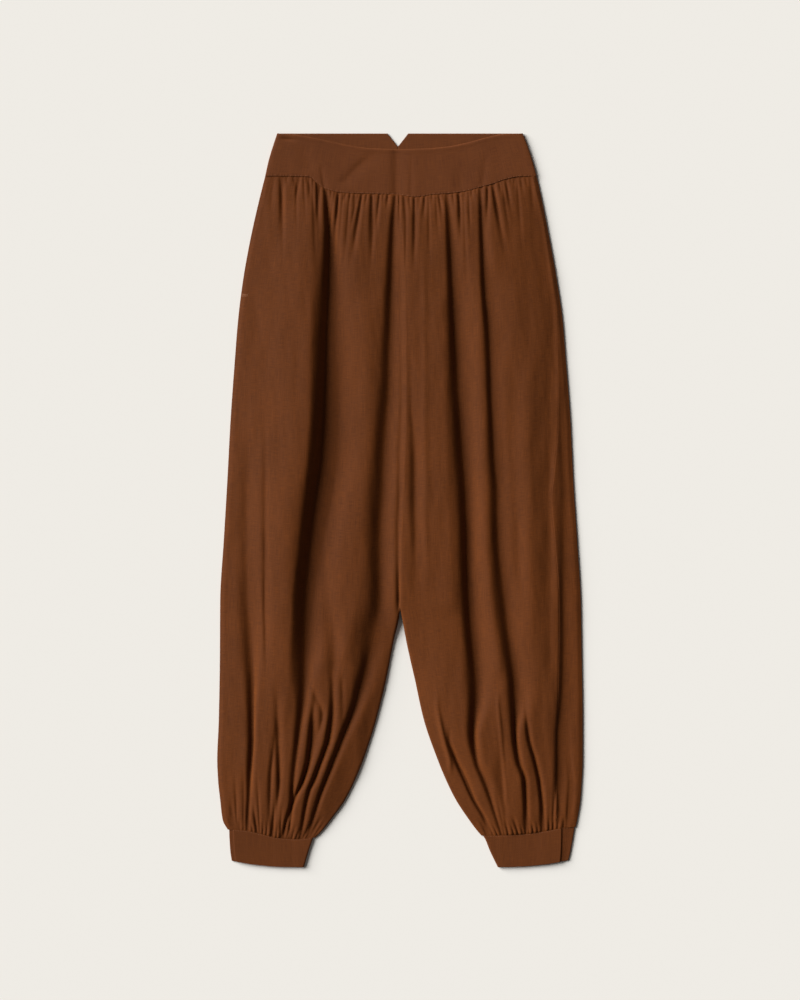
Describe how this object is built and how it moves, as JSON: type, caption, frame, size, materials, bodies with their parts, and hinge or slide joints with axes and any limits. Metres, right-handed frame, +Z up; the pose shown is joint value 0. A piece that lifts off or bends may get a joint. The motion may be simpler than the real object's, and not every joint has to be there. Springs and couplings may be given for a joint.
{
  "type": "baggy pants laid flat",
  "caption": "Baggy brown pants laid flat, front up, gathered into a wide shaped waistband with a back notch and into lapped cuffs",
  "frame": {"origin": "middle of the outline, on the surface that the pants lie on", "axes": "+X to the right as seen from above, +Y from the hems to the waist, +Z up from the surface"},
  "size_m": [0.5124, 1.028, 0.0201],
  "materials": {
    "cloth": "fine plain weave with a soft sheen",
    "band": "the same cloth, doubled and pressed"
  },
  "bodies": {
    "root": {"waistband_front": "band", "waistband_back_left": "band", "waistband_back_right": "band", "front_left": "cloth", "front_right": "cloth", "back_left": "cloth", "back_right": "cloth", "pocket_left": "cloth", "pocket_right": "cloth", "cuff_left": "band", "cuff_right": "band"}
  },
  "joints": []
}
